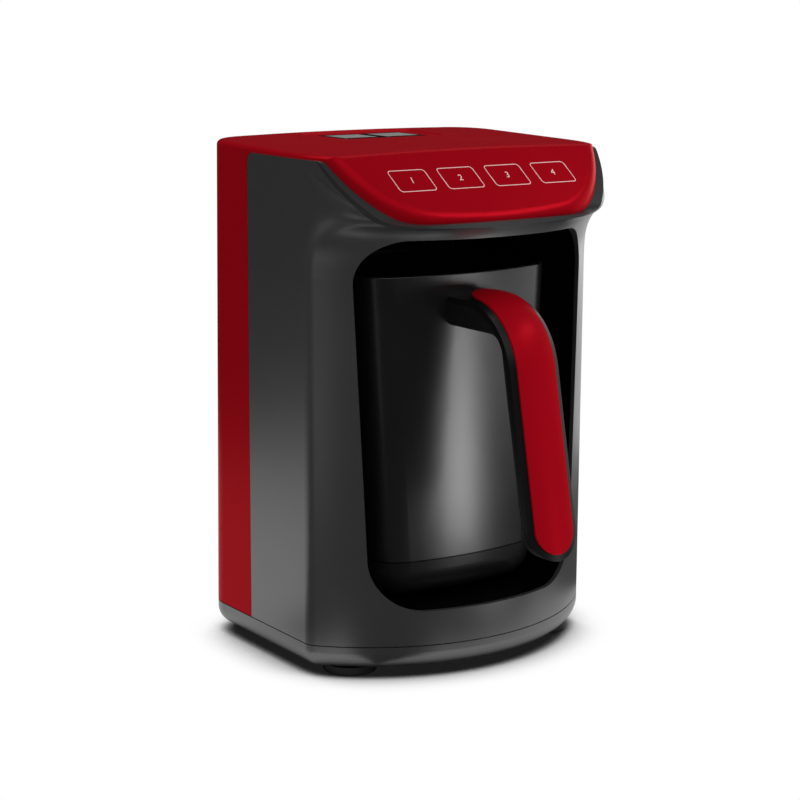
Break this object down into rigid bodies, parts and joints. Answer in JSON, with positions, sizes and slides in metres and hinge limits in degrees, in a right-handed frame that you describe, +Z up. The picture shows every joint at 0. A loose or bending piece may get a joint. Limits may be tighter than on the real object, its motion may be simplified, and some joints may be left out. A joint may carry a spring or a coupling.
{
  "type": "electric turkish coffee maker",
  "caption": "Countertop electric turkish coffee maker: upright housing with tilted control panel, open bay and a lift-out electric jug with a curved handle.",
  "frame": {"origin": "on the worktop under the centre of the whole object's bounding box", "axes": "+Z up, -Y towards the user in front of the control panel, +X to the user's right"},
  "size_m": [0.1748, 0.1985, 0.2671],
  "materials": {
    "charcoal_plastic": "satin metallic charcoal",
    "red_plastic": "satin-gloss metallic red",
    "black_gloss": "gloss black",
    "black_plastic": "satin black",
    "black_metal": "satin black coating",
    "handle_satin": "satin dark grey",
    "key_grey": "smoky grey, gloss",
    "dark_lens": "dark infrared window",
    "stainless": "brushed",
    "aluminium_plate": "cast",
    "screw_steel": "zinc plated",
    "brass_contact": "bright",
    "circuit_board": "green solder mask",
    "foot_rubber": "matt"
  },
  "bodies": {
    "machine": {"base_screws": "screw_steel", "base_tray": "charcoal_plastic", "bay_ceiling": "black_gloss", "board_screws": "screw_steel", "buzzer": "black_plastic", "cavity_liner": "black_gloss", "control_board": "circuit_board", "cord_gland": "black_plastic", "dock_connector": "black_plastic", "dock_contacts": "brass_contact", "dock_plate": "black_gloss", "front_housing": "charcoal_plastic", "heater_relay": "black_plastic", "key_board": "circuit_board", "key_frame": "black_plastic", "key_spring_left": "screw_steel", "key_spring_right": "screw_steel", "key_switches": "black_plastic", "panel_bezel": "charcoal_plastic", "power_board": "circuit_board", "rear_shell": "red_plastic", "rubber_feet": "foot_rubber", "sensor_board": "circuit_board", "sensor_lenses": "dark_lens", "top_cover": "red_plastic", "top_plate": "red_plastic", "touch_board": "circuit_board", "transformer": "black_plastic"},
    "jug": {"jug_shell": "black_metal", "jug_vessel": "stainless", "jug_base": "black_plastic", "jug_seal": "foot_rubber", "heater_plate": "aluminium_plate", "heating_element": "stainless", "thermostat": "stainless", "jug_plug": "black_plastic", "handle_body": "black_plastic", "handle_frame": "handle_satin", "handle_grip": "red_plastic", "handle_screws": "screw_steel"},
    "left_key": {"key_left": "black_plastic", "key_cap_left": "key_grey"},
    "right_key": {"key_right": "black_plastic", "key_cap_right": "key_grey"}
  },
  "joints": [
    {"name": "jug_slide", "type": "slide", "parent": "machine", "child": "jug", "axis": [0, -1, 0], "range_m": [0, 0.18]},
    {"name": "left_key_press", "type": "slide", "parent": "machine", "child": "left_key", "axis": [0, 0, -1], "range_m": [0, 0.0015], "stiffness_N_per_m": 300, "springref_m": -0.002, "deforming": ["key_spring_left"]},
    {"name": "right_key_press", "type": "slide", "parent": "machine", "child": "right_key", "axis": [0, 0, -1], "range_m": [0, 0.0015], "stiffness_N_per_m": 300, "springref_m": -0.002, "deforming": ["key_spring_right"]}
  ]
}
